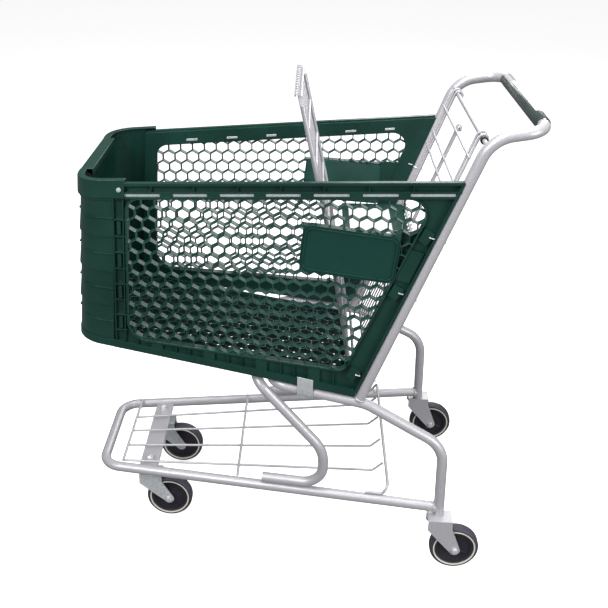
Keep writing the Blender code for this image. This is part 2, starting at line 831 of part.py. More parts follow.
# ---------------------------------------------------------------- seat flap
AXIS = gate_point(FLAP_S, CROSS_T, 0.0)
flap = [box((AXIS.x + 0.0045, -FLAP_HALF, AXIS.z - 0.0085),
            (AXIS.x + 0.0045 + FLAP_LEN, FLAP_HALF, AXIS.z - 0.0025))]
for y in (0.0978, -0.0978):
    knuckle = lathe([(WIRE_R + 0.0008, -0.006), (0.0066, -0.006), (0.0066, 0.006),
                     (WIRE_R + 0.0008, 0.006)], (AXIS.x, y, AXIS.z), "Y", 12)
    flap.append(knuckle)
for y in (-FLAP_HALF + 0.003, FLAP_HALF - 0.003):
    flap.append(box((AXIS.x + 0.014, y - 0.003, AXIS.z - 0.0165),
                    (AXIS.x + FLAP_LEN, y + 0.003, AXIS.z - 0.0040)))
finish(joined(flap), "seat_flap", "green")
finish(box((AXIS.x + 0.040, -0.105, AXIS.z - 0.0025 + GAP),
           (AXIS.x + 0.135, 0.105, AXIS.z - 0.0025 + GAP + 0.0008)), "flap_label", "white")

# ---------------------------------------------------------------- casters
TYRE = [
    (TYRE_BORE, -0.0115), (0.0500, -0.0140), (0.0545, -0.0125), (WHEEL_R, -0.0080),
    (WHEEL_R, 0.0080), (0.0545, 0.0125), (0.0500, 0.0140), (TYRE_BORE, 0.0115),
]
HUB = [
    (BOLT_R + 0.0004, -0.0165), (0.0110, -0.0165), (0.0150, -0.0060),
    (TYRE_BORE - GAP, -0.0115), (TYRE_BORE - GAP, 0.0115), (0.0150, 0.0060),
    (0.0110, 0.0165), (BOLT_R + 0.0004, 0.0165),
]
CHEEK = FORK_IN + FORK_T
BOLT = [
    (0.0, -CHEEK - 0.0060), (0.0062, -CHEEK - 0.0060), (0.0062, -CHEEK - GAP),
    (BOLT_R, -CHEEK - GAP), (BOLT_R, CHEEK + GAP), (0.0068, CHEEK + GAP),
    (0.0068, CHEEK + 0.0055), (0.0, CHEEK + 0.0065),
]


def fork(axle_x, axle_y, stem_x, top, hole):
    """Pressed yoke: two tapered cheeks under a flat crown."""
    front = stem_x + 0.026
    back = stem_x - 0.030
    eye = []
    for k in range(7):
        a = math.radians(155 + 180 * k / 6)
        eye.append((axle_x + 0.0125 * math.cos(a), WHEEL_R + 0.0125 * math.sin(a)))
    cheek = [(back, top), (back, top - 0.020)] + eye + [(front, top - 0.026), (front, top)]
    yoke = sheet(cheek, [], 2 * CHEEK, lambda u, v, w: (u, axle_y + w, v))
    slot = box((axle_x - 0.10, axle_y - FORK_IN, 0.0), (axle_x + 0.12, axle_y + FORK_IN,
                                                        top - 0.003))
    yoke = combine(yoke, slot, "DIFFERENCE")
    bore = lathe([(0.0, -0.04), (BOLT_R + 0.0004, -0.04), (BOLT_R + 0.0004, 0.04), (0.0, 0.04)],
                 (axle_x, axle_y, WHEEL_R), "Y", 12)
    yoke = combine(yoke, bore, "DIFFERENCE")
    if hole:
        pin = lathe([(0.0, top - 0.02), (0.0056, top - 0.02), (0.0056, top + 0.02),
                     (0.0, top + 0.02)], (stem_x, axle_y, 0.0), "Z", 12)
        yoke = combine(yoke, pin, "DIFFERENCE")
    return yoke


for name, side in SIDES:
    for place, axle, stem, top in (("rear", REAR_AXLE, LEG_X, REAR_FORK_TOP),
                                   ("front", FRONT_AXLE, SWIVEL_X, FRONT_FORK_TOP)):
        x = axle[0]
        y = side * axle[1]
        tag = "{}_{}_".format(place, name)
        yoke = fork(x, y, stem, top, place == "front")
        finish(yoke, tag + "fork", "steel" if place == "rear" else "zinc")
        finish(lathe(TYRE, (x, y, WHEEL_R), "Y", 24), tag + "tyre", "rubber")
        finish(lathe(HUB, (x, y, WHEEL_R), "Y", 24), tag + "hub", "hub")
        bolt = [(radius, side * height) for radius, height in BOLT]
        finish(lathe(bolt, (x, y, WHEEL_R), "Y", 8), tag + "axle_bolt", "zinc")
    y = side * FRONT_AXLE[1]
    kingpin = [
        (0.0, 0.1185), (0.0085, 0.1185), (0.0085, 0.1250), (0.0050, 0.1250),
        (0.0050, PLATE_Z[1] + GAP), (0.0100, PLATE_Z[1] + GAP), (0.0100, 0.1655),
        (0.0080, 0.1710), (0.0042, 0.1745), (0.0, 0.1755),
    ]
    finish(lathe(kingpin, (SWIVEL_X, y, 0.0), "Z", 12), "front_{}_kingpin".format(name), "zinc")
    race = [(0.0056, 0.1290), (0.0160, 0.1290), (0.0195, 0.1350), (0.0195, 0.1450),
            (0.0150, PLATE_Z[0] - GAP), (0.0056, PLATE_Z[0] - GAP)]
    finish(lathe(race, (SWIVEL_X, y, 0.0), "Z", 12), "front_{}_race".format(name), "zinc")
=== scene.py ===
import json
import math

import bmesh
import bpy
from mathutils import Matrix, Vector
from mathutils.geometry import tessellate_polygon

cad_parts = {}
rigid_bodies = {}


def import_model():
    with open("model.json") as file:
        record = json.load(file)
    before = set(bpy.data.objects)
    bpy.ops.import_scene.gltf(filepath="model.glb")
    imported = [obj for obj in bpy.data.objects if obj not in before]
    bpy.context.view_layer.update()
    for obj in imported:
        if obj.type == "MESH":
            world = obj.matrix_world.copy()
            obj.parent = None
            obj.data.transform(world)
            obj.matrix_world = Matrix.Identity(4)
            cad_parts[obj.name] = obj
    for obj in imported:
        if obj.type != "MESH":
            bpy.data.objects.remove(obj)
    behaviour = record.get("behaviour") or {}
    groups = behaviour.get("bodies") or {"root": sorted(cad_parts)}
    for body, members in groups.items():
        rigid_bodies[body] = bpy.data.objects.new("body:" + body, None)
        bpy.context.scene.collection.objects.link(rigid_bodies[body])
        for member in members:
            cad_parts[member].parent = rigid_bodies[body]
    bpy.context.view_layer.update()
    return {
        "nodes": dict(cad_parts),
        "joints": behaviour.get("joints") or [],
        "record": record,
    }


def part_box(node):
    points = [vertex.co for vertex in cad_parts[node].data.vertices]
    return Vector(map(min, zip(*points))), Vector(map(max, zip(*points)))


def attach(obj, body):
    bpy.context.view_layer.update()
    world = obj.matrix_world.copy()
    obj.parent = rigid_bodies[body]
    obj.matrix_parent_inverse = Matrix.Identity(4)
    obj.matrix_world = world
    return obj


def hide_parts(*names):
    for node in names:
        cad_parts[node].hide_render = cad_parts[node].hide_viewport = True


for item in list(bpy.data.objects):
    bpy.data.objects.remove(item, do_unlink=True)

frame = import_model()

# ---------------------------------------------------------------- places, read from the frame
SIDES = (("left", 1.0), ("right", -1.0))
JOINT = {joint["name"]: joint for joint in frame["joints"]}
TUBE_R = 0.012
RAIL_Z = 0.1585
LEG_X = -0.347
LEG_Y = 0.249
HANDLE_X = -0.474
HANDLE_Z = 1.0515
GRIP_HALF = 0.191
GRIP_R = 0.0146
GRIP_BORE = 0.0126
ROD = Vector(JOINT["gate_swing"]["pos_m"])
PIVOT = Vector(JOINT["seat_back_fold"]["pos_m"])
GATE_LEN = 0.5955
GATE_T = 0.0088
WIRE_R = 0.0027
SEAT_TOP = Vector((0.0020, 0.0, 1.0920))
SEAT_KNEE = Vector((-0.0770, 0.0, 0.8000))
WHEEL_R = JOINT["rear_left_spin"]["pos_m"][2]
CLIP_Z = (0.8225, 0.6900, 0.4900)       # where the wire clips pass round the uprights
CLIP_TIPS = ((-0.2740, 0.8310), (-0.2215, 0.7040), (-0.1430, 0.5005))


def wall_y(x):
    """Half width of the basket, outer face."""
    return 0.2258 - 0.0775 * x


def rail_y(x):
    """Half width of the base tube's centre line."""
    return 0.2006 - 0.139 * x


def support_y(x):
    """Half width of the support tubes under the basket."""
    return 0.2142 - 0.100 * x


def support_z(x):
    """Height of the support tubes' centre line."""
    return 0.4505 + 0.158 * x


def rim_z(x):
    """Height of the rim caps' top edge."""
    return 0.9395 - 0.0505 * x


def bottom_z(x):
    """Height of the basket's lower edge."""
    return 0.467 + 0.158 * x


def rear_edge_x(z):
    """Rear edge of a side panel."""
    return -0.137 - 0.372 * (z - 0.4454)


def upright_x(z):
    """Centre line of the handle's uprights, along the cart."""
    return -0.148 - 0.367 * (z - 0.432)


def upright_y(z):
    """Centre line of the handle's uprights, across the cart."""
    return 0.2295 + 0.0182 * (z - 0.432)


def front_edge_x(z):
    """Front edge of a side panel."""
    return 0.377 - 0.072 * (z - 0.885)


def nose_x(z):
    """Outer face of the nose."""
    return 0.4606 - 0.076 * (z - 0.904)


def gate_point(s, t, y):
    """Point on the gate: s down from the rod, t ahead of the rod's plane."""
    down = Vector((0.3445, 0.0, -0.9388))
    ahead = Vector((0.9388, 0.0, 0.3445))
    spot = ROD + down * s + ahead * t
    return Vector((spot.x, y, spot.z))


# ---------------------------------------------------------------- materials
def nodes_of(name):
    mat = bpy.data.materials.new(name)
    mat.use_nodes = True
    tree = mat.node_tree
    shader = tree.nodes["Principled BSDF"]
    coords = tree.nodes.new("ShaderNodeTexCoord")
    return mat, tree, shader, coords.outputs["Object"]


def noise(tree, coords, scale, detail=3.0, roughness=0.55):
    """Output of a new noise texture."""
    node = tree.nodes.new("ShaderNodeTexNoise")
    node.inputs["Scale"].default_value = scale
    node.inputs["Detail"].default_value = detail
    node.inputs["Roughness"].default_value = roughness
    tree.links.new(coords, node.inputs["Vector"])
    return node.outputs["Fac"]


def ramp(tree, factor, stops):
    """Colour ramp through (position, rgb) stops."""
    node = tree.nodes.new("ShaderNodeValToRGB")
    while len(node.color_ramp.elements) < len(stops):
        node.color_ramp.elements.new(0.5)
    for element, (place, rgb) in zip(node.color_ramp.elements, stops):
        element.position = place
        element.color = (*rgb, 1.0)
    tree.links.new(factor, node.inputs["Fac"])
    return node.outputs["Color"]


def spread(tree, factor, low, high):
    """Noise spread over a range of values."""
    node = tree.nodes.new("ShaderNodeMapRange")
    node.inputs["From Min"].default_value = 0.3
    node.inputs["From Max"].default_value = 0.7
    node.inputs["To Min"].default_value = low
    node.inputs["To Max"].default_value = high
    tree.links.new(factor, node.inputs["Value"])
    return node.outputs["Result"]


def bump(tree, height, shader, depth, strength=1.0, under=None):
    node = tree.nodes.new("ShaderNodeBump")
    node.inputs["Distance"].default_value = depth
    node.inputs["Strength"].default_value = strength
    tree.links.new(height, node.inputs["Height"])
    if under is not None:
        tree.links.new(under, node.inputs["Normal"])
    tree.links.new(node.outputs["Normal"], shader.inputs["Normal"])
    return node.outputs["Normal"]


def plastic(name, dark, light, rough, grain=0.00005, grain_scale=900.0, shine=0.4):
    """Moulded plastic: slow colour drift, uneven gloss, fine grain and faint flow waves."""
    mat, tree, shader, coords = nodes_of(name)
    drift = noise(tree, coords, 7.0, 4.0)
    tree.links.new(ramp(tree, drift, ((0.35, dark), (0.68, light))), shader.inputs["Base Color"])
    scuff = noise(tree, coords, 45.0, 6.0, 0.7)
    tree.links.new(spread(tree, scuff, rough - 0.07, rough + 0.09), shader.inputs["Roughness"])
    wave = bump(tree, noise(tree, coords, 14.0, 2.0), shader, 0.0006, 0.6)
    bump(tree, noise(tree, coords, grain_scale, 2.0), shader, grain, 0.5, wave)
    shader.inputs["Specular IOR Level"].default_value = shine
    return mat


def hammertone(name):
    """Silver-grey hammered paint: small dimples with bright flakes between them."""
    mat, tree, shader, coords = nodes_of(name)
    cells = tree.nodes.new("ShaderNodeTexVoronoi")
    cells.feature = "SMOOTH_F1"
    cells.inputs["Scale"].default_value = 520.0
    cells.inputs["Smoothness"].default_value = 0.6
    tree.links.new(coords, cells.inputs["Vector"])
    speck = noise(tree, coords, 900.0, 3.0, 0.7)
    stops = ((0.30, (0.350, 0.344, 0.368)), (0.52, (0.50, 0.496, 0.525)),
             (0.72, (0.68, 0.676, 0.70)))
    tree.links.new(ramp(tree, speck, stops), shader.inputs["Base Color"])
    patch = noise(tree, coords, 60.0, 3.0)
    tree.links.new(spread(tree, patch, 0.34, 0.46), shader.inputs["Roughness"])
    shader.inputs["Metallic"].default_value = 0.28
    shader.inputs["Coat Weight"].default_value = 0.25
    shader.inputs["Coat Roughness"].default_value = 0.15
    bump(tree, cells.outputs["Distance"], shader, 0.0005, 0.45)
    return mat


def plated(name, dark, light, rough):
    """Zinc plate: cloudy spangle and short polishing marks."""
    mat, tree, shader, coords = nodes_of(name)
    cloud = noise(tree, coords, 120.0, 5.0, 0.65)
    tree.links.new(ramp(tree, cloud, ((0.32, dark), (0.68, light))), shader.inputs["Base Color"])
    fine = noise(tree, coords, 700.0, 3.0, 0.6)
    tree.links.new(spread(tree, fine, rough - 0.06, rough + 0.10), shader.inputs["Roughness"])
    shader.inputs["Metallic"].default_value = 0.55
    bump(tree, fine, shader, 0.00006, 0.5)
    return mat


GREEN = plastic("green_plastic", (0.0045, 0.030, 0.0225), (0.0080, 0.046, 0.034), 0.32)
# Lighter copy of the panel green for the hex web: painted light, so the web's thin walls look lit
# by the lamps above.
MESH_GREEN_PAINTED_LIGHT = plastic("mesh_green_painted_light", (0.012, 0.054, 0.043), (0.019, 0.074, 0.060), 0.32)
SIGN_GREEN = plastic("sign_green_plastic", (0.0022, 0.037, 0.028), (0.0036, 0.043, 0.033), 0.42,
                     0.00012, 650.0)
GRIP_GREEN = plastic("grip_green_plastic", (0.030, 0.042, 0.041), (0.050, 0.064, 0.062), 0.24)
PAINT = hammertone("hammertone_paint")
ZINC = plated("zinc_plate", (0.62, 0.66, 0.69), (0.86, 0.89, 0.91), 0.30)
TREAD = plastic("tread_polyurethane", (0.040, 0.036, 0.053), (0.060, 0.054, 0.076), 0.50,
                0.00015, 500.0)
HUB = plastic("hub_plastic", (0.016, 0.014, 0.021), (0.028, 0.025, 0.035), 0.42)
CREAM = plastic("cream_ring_plastic", (0.66, 0.67, 0.54), (0.76, 0.77, 0.64), 0.40)
LABEL = plastic("label_card", (0.70, 0.73, 0.72), (0.80, 0.82, 0.81), 0.28)
NYLON = plastic("black_nylon", (0.010, 0.010, 0.010), (0.018, 0.018, 0.018), 0.48)


# ---------------------------------------------------------------- mesh helpers
class Bag:
    """Vertices and faces of one piece, gathered shape by shape."""

    def __init__(self):
        self.verts = []
        self.faces = []

    def add(self, verts, faces):
        first = len(self.verts)
        self.verts.extend(tuple(v) for v in verts)
        self.faces.extend(tuple(i + first for i in face) for face in faces)


def piece(name, bag, mat, body="frame", replaces=(), merge=False, bevel=0.0, sharp=38.0):
    """Object from a bag: rides on a body, stands for CAD nodes and takes a slot's finish."""
    mesh = bpy.data.meshes.new(name)
    mesh.from_pydata(bag.verts, [], bag.faces)
    bm = bmesh.new()
    bm.from_mesh(mesh)
    if merge:
        bmesh.ops.remove_doubles(bm, verts=bm.verts, dist=0.00002)
    bmesh.ops.recalc_face_normals(bm, faces=bm.faces)
    bm.to_mesh(mesh)
    bm.free()
    mesh.shade_smooth()
    mesh.set_sharp_from_angle(angle=math.radians(sharp))
    mesh.materials.append(mat)
    obj = bpy.data.objects.new(name, mesh)
    bpy.context.scene.collection.objects.link(obj)
    if bevel:
        mod = obj.modifiers.new("soft_edges", "BEVEL")
        mod.width = bevel
        mod.segments = 2
        mod.limit_method = "ANGLE"
        mod.angle_limit = math.radians(40)
    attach(obj, body)
    if replaces:
        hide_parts(*replaces)
    return obj


def prism(bag, loop, near, far, place):
    """Plate with outline loop in panel coordinates, between two depths."""
    count = len(loop)
    verts = [place(u, v, near) for u, v in loop] + [place(u, v, far) for u, v in loop]
    faces = [(i, (i + 1) % count, count + (i + 1) % count, count + i) for i in range(count)]
    faces.append(tuple(range(count)))
    faces.append(tuple(range(2 * count - 1, count - 1, -1)))
    bag.add(verts, faces)


def ring_plate(bag, outer, hole, near, far, place):
    """Plate between an outline and one hole."""
    loops = (outer, hole)
    verts = []
    for depth in (near, far):
        for loop in loops:
            verts.extend(place(u, v, depth) for u, v in loop)
    total = len(outer) + len(hole)
    faces = []
    for tri in tessellate_polygon([[Vector((u, v, 0)) for u, v in loop] for loop in loops]):
        faces.append(tuple(tri))
        faces.append(tuple(i + total for i in tri))
    start = 0
    for loop in loops:
        for i in range(len(loop)):
            a = start + i
            b = start + (i + 1) % len(loop)
            faces.append((a, b, b + total, a + total))
        start += len(loop)
    bag.add(verts, faces)


def rounded(corners, radii, steps=8):
    """Poly line through corners with circular bends."""
    line = [Vector(corners[0])]
    for i in range(1, len(corners) - 1):
        here = Vector(corners[i])
        back = (Vector(corners[i - 1]) - here).normalized()
        ahead = (Vector(corners[i + 1]) - here).normalized()
        half = back.angle(ahead) / 2
        radius = radii[i - 1]
        reach = radius / math.tan(half)
        centre = here + (back + ahead).normalized() * (radius / math.sin(half))
        start = here + back * reach - centre
        end = here + ahead * reach - centre
        sweep = start.angle(end)
        for k in range(steps + 1):
            a = sweep * k / steps
            mix = start * math.sin(sweep - a) + end * math.sin(a)
            line.append(centre + mix / math.sin(sweep))
    line.append(Vector(corners[-1]))
    return line


def rounded_loop(corners, radii, steps=8):
    """Closed 2D outline with round corners."""
    loop = []
    for i, spot in enumerate(corners):
        before = corners[i - 1]
        after = corners[(i + 1) % len(corners)]
        arc = rounded([(*before, 0), (*spot, 0), (*after, 0)], [radii[i]], steps)
        loop.extend((p.x, p.y) for p in arc[1:-1])
    return loop


def mirrored(points):
    return points + [Vector((p.x, -p.y, p.z)) for p in reversed(points)]


def tube(bag, line, radius, sides=16, flat=1.0, bore=0.0):
    """Round bar along a line; flat below 1 squeezes it across the second axis."""
    line = [Vector(p) for p in line]
    steps = []
    for i, spot in enumerate(line):
        back = (spot - line[i - 1]).normalized() if i else None
        ahead = (line[i + 1] - spot).normalized() if i < len(line) - 1 else None
        steps.append(((back or ahead) + (ahead or back)).normalized())
    across = steps[0].orthogonal().normalized()
    if flat != 1.0:
        across = Vector((0.0, 1.0, 0.0))
    verts = []
    for i, spot in enumerate(line):
        across = (across - steps[i] * across.dot(steps[i])).normalized()
        other = steps[i].cross(across)
        for k in range(sides):
            a = 2 * math.pi * k / sides
            verts.append(spot + across * radius * math.cos(a) + other * radius * flat * math.sin(a))
    faces = []
    for i in range(len(line) - 1):
        for k in range(sides):
            n = (k + 1) % sides
            low = i * sides
            faces.append((low + k, low + n, low + sides + n, low + sides + k))
    last = (len(line) - 1) * sides
    faces.append(tuple(range(last, last + sides)))
    if bore:
        rim = len(verts)
        for depth in (0.0, 0.030):
            for k in range(sides):
                spoke = Vector(verts[k]) - line[0]
                verts.append(line[0] + steps[0] * depth + spoke * bore)
        for k in range(sides):
            n = (k + 1) % sides
            faces.append((k, n, rim + n, rim + k))
            faces.append((rim + k, rim + n, rim + sides + n, rim + sides + k))
        faces.append(tuple(range(rim + sides, rim + 2 * sides)))
    else:
        faces.append(tuple(range(sides)))
    bag.add(verts, faces)


def lathe(bag, profile, centre, axis, segments=48, flip=1.0):
    """Turned body; profile is (radius, height), closed or ending on the axis."""
    loop = profile[0][0] > 0.0
    verts = []
    rings = []
    for radius, height in profile:
        if radius == 0.0:
            rings.append([len(verts)])
            verts.append((0.0, 0.0, height))
            continue
        rings.append(list(range(len(verts), len(verts) + segments)))
        for k in range(segments):
            a = 2 * math.pi * k / segments
            verts.append((radius * math.cos(a), radius * math.sin(a), height))
    pairs = list(zip(rings, rings[1:]))
    if loop:
        pairs.append((rings[-1], rings[0]))
    faces = []
    for low, high in pairs:
        for k in range(segments):
            n = (k + 1) % segments
            if len(low) == 1:
                faces.append((low[0], high[n], high[k]))
            elif len(high) == 1:
                faces.append((low[k], low[n], high[0]))
            else:
                faces.append((low[k], low[n], high[n], high[k]))
    if axis == "Y":
        verts = [(x, flip * h, y) for x, y, h in verts]
    bag.add([(x + centre[0], y + centre[1], z + centre[2]) for x, y, z in verts], faces)


def loft(bag, sections):
    """Closed body through equal-length closed sections."""
    count = len(sections[0])
    faces = []
    for i in range(len(sections) - 1):
        for j in range(count):
            k = (j + 1) % count
            faces.append((i * count + j, i * count + k, (i + 1) * count + k, (i + 1) * count + j))
    faces.append(tuple(range(count)))
    faces.append(tuple((len(sections) - 1) * count + j for j in reversed(range(count))))
    bag.add([v for section in sections for v in section], faces)


def turning(loop):
    return math.copysign(1.0, sum(
        a[0] * b[1] - a[1] * b[0] for a, b in zip(loop, loop[1:] + loop[:1])))


def clip(shape, loop, margin):
    """Part of a convex shape that lies inside a convex loop by at least margin."""
    sign = turning(loop)
    for i, (ax, ay) in enumerate(loop):
        bx, by = loop[(i + 1) % len(loop)]
        length = math.hypot(bx - ax, by - ay)
        if length < 1e-7:
            continue
        nx = -sign * (by - ay) / length
        ny = sign * (bx - ax) / length
        fresh = []
        for j, p in enumerate(shape):
            q = shape[(j + 1) % len(shape)]
            dp = (p[0] - ax) * nx + (p[1] - ay) * ny - margin
            dq = (q[0] - ax) * nx + (q[1] - ay) * ny - margin
            if dp >= 0:
                fresh.append(p)
            if (dp >= 0) != (dq >= 0):
                share = dp / (dp - dq)
                fresh.append((p[0] + (q[0] - p[0]) * share, p[1] + (q[1] - p[1]) * share))
        shape = fresh
        if len(shape) < 3:
            return []
    return shape


def tidy(loop, closest=0.00025):
    """Drop points that nearly coincide."""
    kept = []
    for p in loop:
        if not kept or math.dist(p, kept[-1]) > closest:
            kept.append(p)
    while len(kept) > 1 and math.dist(kept[0], kept[-1]) <= closest:
        kept.pop()
    return kept


def area(loop):
    return abs(sum(a[0] * b[1] - a[1] * b[0] for a, b in zip(loop, loop[1:] + loop[:1]))) / 2


def web(bag, border, cells, near, far, place, edge_margin, chamfer, smallest):
    """Grid of walls: each cell is (outline, hole); cells are cut off at the border."""
    edges = {}
    for outline, hole in cells:
        outer = tidy(clip(outline, border, 0.0), 0.00003)
        if len(outer) < 3:
            continue
        inner = tidy(clip(hole, border, edge_margin)) if hole else []
        loops = [outer]
        rings = []
        if len(inner) >= 3 and area(inner) > smallest:
            cx = sum(p[0] for p in inner) / len(inner)
            cy = sum(p[1] for p in inner) / len(inner)
            size = math.sqrt(area(inner) / math.pi)
            for depth, grow in ((near, chamfer), (near - chamfer, 0.0), (far + chamfer, 0.0),
                                (far, chamfer)):
                factor = 1.0 + grow / size
                rings.append([(cx + (u - cx) * factor, cy + (v - cy) * factor, depth)
                              for u, v in inner])
            loops.append(inner)
        verts = [place(u, v, near) for u, v in outer] + [place(u, v, far) for u, v in outer]
        count = len(outer)
        faces = []
        first = len(verts)
        for ring in rings:
            verts.extend(place(*spot) for spot in ring)
        size = len(inner) if rings else 0
        near_index = list(range(count)) + list(range(first, first + size))
        far_index = list(range(count, 2 * count)) + list(range(first + 3 * size, first + 4 * size))
        for tri in tessellate_polygon([[Vector((u, v, 0)) for u, v in loop] for loop in loops]):
            faces.append(tuple(near_index[i] for i in tri))
            faces.append(tuple(far_index[i] for i in tri))
        for r in range(3 if rings else 0):
            for i in range(size):
                a = first + r * size + i
                b = first + r * size + (i + 1) % size
                faces.append((a, b, b + size, a + size))
        bag.add(verts, faces)
        for i in range(count):
            p = outer[i]
            q = outer[(i + 1) % count]
            key = frozenset(((round(p[0], 5), round(p[1], 5)), (round(q[0], 5), round(q[1], 5))))
            edges.setdefault(key, []).append((p, q))
    for sharers in edges.values():
        if len(sharers) == 1:
            p, q = sharers[0]
            bag.add([place(*p, near), place(*q, near), place(*q, far), place(*p, far)],
                    [(0, 1, 2, 3)])


# ---------------------------------------------------------------- basket side panels
HEX_PITCH = 0.029
HEX_WALL = 0.0021
WEB_NEAR = -0.0012
WEB_FAR = -0.0172
BACK = -0.0095          # floor of the recesses in the border
PANEL_FAR = -0.0200
SIGN = (-0.111, 0.7875, 0.199, 0.104, 5.5)
LIP_DROP = 0.0045       # the panels' lips lie this far below the caps
RIB_X = (0.297, 0.208, 0.118, 0.031, -0.056, -0.145, -0.231)
SLOTS = ((0.348, 0.279), (0.252, 0.181), (0.155, 0.085), (0.061, -0.009), (-0.035, -0.106),
         (-0.132, -0.202), (-0.225, -0.315))
TOP_FRONT = front_edge_x(0.9206) - 0.0006
LOW_FRONT = front_edge_x(0.5306) - 0.0006
PANEL = [(rear_edge_x(0.956), 0.948), (TOP_FRONT, rim_z(TOP_FRONT) - 0.0080),
         (LOW_FRONT, bottom_z(LOW_FRONT)), (-0.137, 0.4454)]
WINDOW = rounded_loop([(-0.2770, rim_z(-0.2770) - 0.0395), (0.3500, rim_z(0.35) - 0.0395),
                       (0.3660, 0.5545), (-0.1130, 0.5080)], (0.035, 0.030, 0.045, 0.022), 8)


def wall_place(side):
    """Panel coordinates (x, z, depth outward) to space on one wall."""
    def place(u, v, w):
        return (u, side * (wall_y(u) + w), v)
    return place


def hexagon(cx, cy, radius):
    return [(cx + radius * math.cos(math.radians(60 * k + 30)),
             cy + radius * math.sin(math.radians(60 * k + 30))) for k in range(6)]


def sign_loop(inset, radius, steps=6):
    cx, cz, length, height, tilt = SIGN
    turn = math.radians(tilt)
    spots = []
    for a, b in ((-0.5, 0.5), (0.5, 0.5), (0.5, -0.5), (-0.5, -0.5)):
        u = a * (length - 2 * inset)
        v = b * (height - 2 * inset)
        spots.append((cx + u * math.cos(turn) - v * math.sin(turn),
                      cz + u * math.sin(turn) + v * math.cos(turn)))
    return rounded_loop(spots, (radius,) * 4, steps) if radius else spots


def away_from_sign(hole, centre):
    """Cut a hole back to the outside of the sign plate; none if it is mostly behind it."""
    plate = sign_loop(0.002, 0.0)
    sign = turning(plate)
    best = None
    for i, (ax, ay) in enumerate(plate):
        bx, by = plate[(i + 1) % 4]
        length = math.hypot(bx - ax, by - ay)
        out = -sign * ((bx - ax) * (centre[1] - ay) - (by - ay) * (centre[0] - ax)) / length
        if best is None or out > best[0]:
            best = (out, (ax, ay), (bx, by), length)
    out, a, b, length = best
    if out > HEX_PITCH * 0.62:
        return hole
    if out < -HEX_PITCH * 0.45:
        return []
    nx = sign * (b[1] - a[1]) / length
    ny = -sign * (b[0] - a[0]) / length
    far = 1.0
    box = [a, b, (b[0] + nx * far, b[1] + ny * far), (a[0] + nx * far, a[1] + ny * far)]
    wide = [(box[0][0] - (b[0] - a[0]) * 9, box[0][1] - (b[1] - a[1]) * 9),
            (box[1][0] + (b[0] - a[0]) * 9, box[1][1] + (b[1] - a[1]) * 9),
            (box[2][0] + (b[0] - a[0]) * 9, box[2][1] + (b[1] - a[1]) * 9),
            (box[3][0] - (b[0] - a[0]) * 9, box[3][1] - (b[1] - a[1]) * 9)]
    return clip(hole, wide, 0.0)


def hex_cells():
    outer_r = HEX_PITCH / math.sqrt(3)
    inner_r = (HEX_PITCH - HEX_WALL) / math.sqrt(3)
    cells = []
    for row in range(-11, 12):
        for column in range(-16, 16):
            centre = (0.060 + (column + 0.5 * (row % 2)) * HEX_PITCH,
                      0.7000 + row * HEX_PITCH * math.sqrt(3) / 2)
            hole = away_from_sign(hexagon(*centre, inner_r), centre)
            cells.append((hexagon(*centre, outer_r), hole))
    return cells


def strip(bag, place, x0, x1, line, high, low, near, far):
    """Bar that follows a sloping line, between two offsets from it."""
    prism(bag, [(x0, line(x0) + high), (x1, line(x1) + high), (x1, line(x1) + low),
                (x0, line(x0) + low)], near, far, place)


def lip_z(x):
    """Height of a side panel's top edge."""
    return rim_z(x) - LIP_DROP


